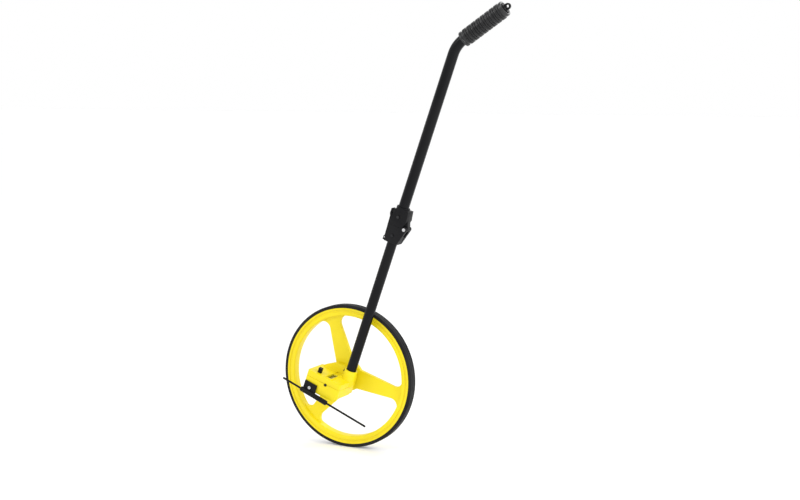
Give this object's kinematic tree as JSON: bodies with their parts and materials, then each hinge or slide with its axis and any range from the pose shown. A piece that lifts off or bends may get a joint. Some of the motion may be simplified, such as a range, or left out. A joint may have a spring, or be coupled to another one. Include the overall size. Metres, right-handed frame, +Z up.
{
  "type": "measuring wheel",
  "caption": "Walking measuring wheel with a spoked wheel, a geared digit counter with reset button, a swinging start pointer, and a folding tubular handle with a ribbed grip.",
  "frame": {"origin": "the point where the tyre meets the ground, below the wheel's centre and in the tyre's middle plane", "axes": "+Z is up, +Y is along the axle from the counter side to the cap side, and +X is the way the handle leans, towards the user"},
  "size_m": [0.5504, 0.1184, 0.9658],
  "materials": {
    "tyre_rubber": "smooth matt rubber",
    "yellow_plastic": "semi-gloss moulded",
    "black_plastic": "fine texture",
    "hinge_plastic": "fine texture",
    "black_paint": "semi-gloss powder coat",
    "black_rod": "satin black",
    "plain_steel": "bright zinc plated",
    "bush_brass": "turned",
    "white_plastic": "natural moulded",
    "dark_steel": "blackened",
    "clear_lens": "clear",
    "grip_rubber": "ribbed soft rubber"
  },
  "bodies": {
    "chassis": {"housing_top": "yellow_plastic", "housing_bottom": "yellow_plastic", "gear_case_cover": "yellow_plastic", "inner_bush": "bush_brass", "outer_bush": "bush_brass", "housing_screws": "plain_steel", "cover_screws": "plain_steel", "window_lens": "clear_lens", "counter_frame": "white_plastic", "pinion_shaft": "plain_steel", "reset_comb_pin": "plain_steel", "reset_spring": "plain_steel", "pointer_screw": "plain_steel", "pointer_washer": "plain_steel", "pointer_nut": "plain_steel", "lower_tube": "black_paint", "tube_screw": "dark_steel", "lower_hinge_half": "hinge_plastic", "lower_hinge_screws": "dark_steel", "hinge_pin": "plain_steel", "latch_pin": "plain_steel", "latch_spring": "plain_steel"},
    "wheel": {"tyre": "tyre_rubber", "wheel_rim": "yellow_plastic", "hub_sleeve": "plain_steel", "axle": "plain_steel", "axle_nut": "plain_steel", "axle_washer": "plain_steel", "hub_cap": "black_plastic", "axle_gear": "white_plastic", "axle_circlip": "plain_steel"},
    "counter_drive": {"counter_shaft": "plain_steel", "counter_gear": "white_plastic", "shaft_clip": "dark_steel", "digit_drum_1": "white_plastic"},
    "drum_2": {"digit_drum_2": "white_plastic"},
    "drum_3": {"digit_drum_3": "white_plastic"},
    "drum_4": {"digit_drum_4": "white_plastic"},
    "drum_5": {"digit_drum_5": "white_plastic"},
    "pinion_1": {"transfer_pinion_1": "white_plastic"},
    "pinion_2": {"transfer_pinion_2": "white_plastic"},
    "pinion_3": {"transfer_pinion_3": "white_plastic"},
    "pinion_4": {"transfer_pinion_4": "white_plastic"},
    "button": {"reset_button": "black_plastic"},
    "comb": {"reset_comb": "white_plastic"},
    "pointer": {"pointer_holder": "black_plastic", "pointer_rod": "black_rod"},
    "handle": {"upper_hinge_half": "hinge_plastic", "upper_hinge_screws": "dark_steel", "upper_tube": "black_paint", "grip": "grip_rubber", "end_plug": "black_plastic"},
    "latch": {"latch_lever": "hinge_plastic"}
  },
  "joints": [
    {"name": "wheel_spin", "type": "hinge", "parent": "chassis", "child": "wheel", "pos_m": [0, 0, 0.15915], "axis": [0, 1, 0], "continuous": true},
    {"name": "counter_drive_spin", "type": "hinge", "parent": "chassis", "child": "counter_drive", "pos_m": [-0.01328, -0.05, 0.15219], "axis": [0, 1, 0], "continuous": true},
    {"name": "drum_2_spin", "type": "hinge", "parent": "chassis", "child": "drum_2", "pos_m": [-0.01328, -0.0541, 0.15219], "axis": [0, 1, 0], "continuous": true},
    {"name": "drum_3_spin", "type": "hinge", "parent": "chassis", "child": "drum_3", "pos_m": [-0.01328, -0.0606, 0.15219], "axis": [0, 1, 0], "continuous": true},
    {"name": "drum_4_spin", "type": "hinge", "parent": "chassis", "child": "drum_4", "pos_m": [-0.01328, -0.0671, 0.15219], "axis": [0, 1, 0], "continuous": true},
    {"name": "drum_5_spin", "type": "hinge", "parent": "chassis", "child": "drum_5", "pos_m": [-0.01328, -0.0736, 0.15219], "axis": [0, 1, 0], "continuous": true},
    {"name": "pinion_1_spin", "type": "hinge", "parent": "chassis", "child": "pinion_1", "pos_m": [-0.01702, -0.0509, 0.14163], "axis": [0, 1, 0], "continuous": true},
    {"name": "pinion_2_spin", "type": "hinge", "parent": "chassis", "child": "pinion_2", "pos_m": [-0.01702, -0.0574, 0.14163], "axis": [0, 1, 0], "continuous": true},
    {"name": "pinion_3_spin", "type": "hinge", "parent": "chassis", "child": "pinion_3", "pos_m": [-0.01702, -0.0639, 0.14163], "axis": [0, 1, 0], "continuous": true},
    {"name": "pinion_4_spin", "type": "hinge", "parent": "chassis", "child": "pinion_4", "pos_m": [-0.01702, -0.0704, 0.14163], "axis": [0, 1, 0], "continuous": true},
    {"name": "reset_press", "type": "slide", "parent": "chassis", "child": "button", "axis": [-0.3338, 0, -0.9426], "range_m": [0, 0.0035], "stiffness_N_per_m": 600, "springref_m": -0.003, "deforming": ["reset_spring"]},
    {"name": "reset_comb_swing", "type": "hinge", "parent": "chassis", "child": "comb", "pos_m": [-0.03026, -0.06, 0.15608], "axis": [0, -1, 0], "range_deg": [0, 19.6]},
    {"name": "pointer_swing", "type": "hinge", "parent": "chassis", "child": "pointer", "pos_m": [-0.04994, -0.087, 0.14395], "axis": [0, 1, 0], "range_deg": [-60, 40]},
    {"name": "handle_fold", "type": "hinge", "parent": "chassis", "child": "handle", "pos_m": [0.15834, -0.032, 0.49454], "axis": [0, 1, 0], "range_deg": [0, 175]},
    {"name": "latch_swing", "type": "hinge", "parent": "chassis", "child": "latch", "pos_m": [0.11014, -0.032, 0.47766], "axis": [0, -1, 0], "range_deg": [0, 12], "stiffness_Nm_per_rad": 0.15, "springref_deg": -11.46, "deforming": ["latch_spring"]}
  ],
  "couplings": [
    {"joint": "counter_drive_spin", "follows": "wheel_spin", "ratio": -1},
    {"joint": "drum_2_spin", "follows": "wheel_spin", "ratio": -0.1},
    {"joint": "drum_3_spin", "follows": "wheel_spin", "ratio": -0.01},
    {"joint": "drum_4_spin", "follows": "wheel_spin", "ratio": -0.001},
    {"joint": "drum_5_spin", "follows": "wheel_spin", "ratio": -0.0001},
    {"joint": "pinion_1_spin", "follows": "wheel_spin", "ratio": 0.25},
    {"joint": "pinion_2_spin", "follows": "wheel_spin", "ratio": 0.025},
    {"joint": "pinion_3_spin", "follows": "wheel_spin", "ratio": 0.0025},
    {"joint": "pinion_4_spin", "follows": "wheel_spin", "ratio": 0.00025},
    {"joint": "reset_comb_swing", "follows": "reset_press", "rad_per_m": 95}
  ]
}
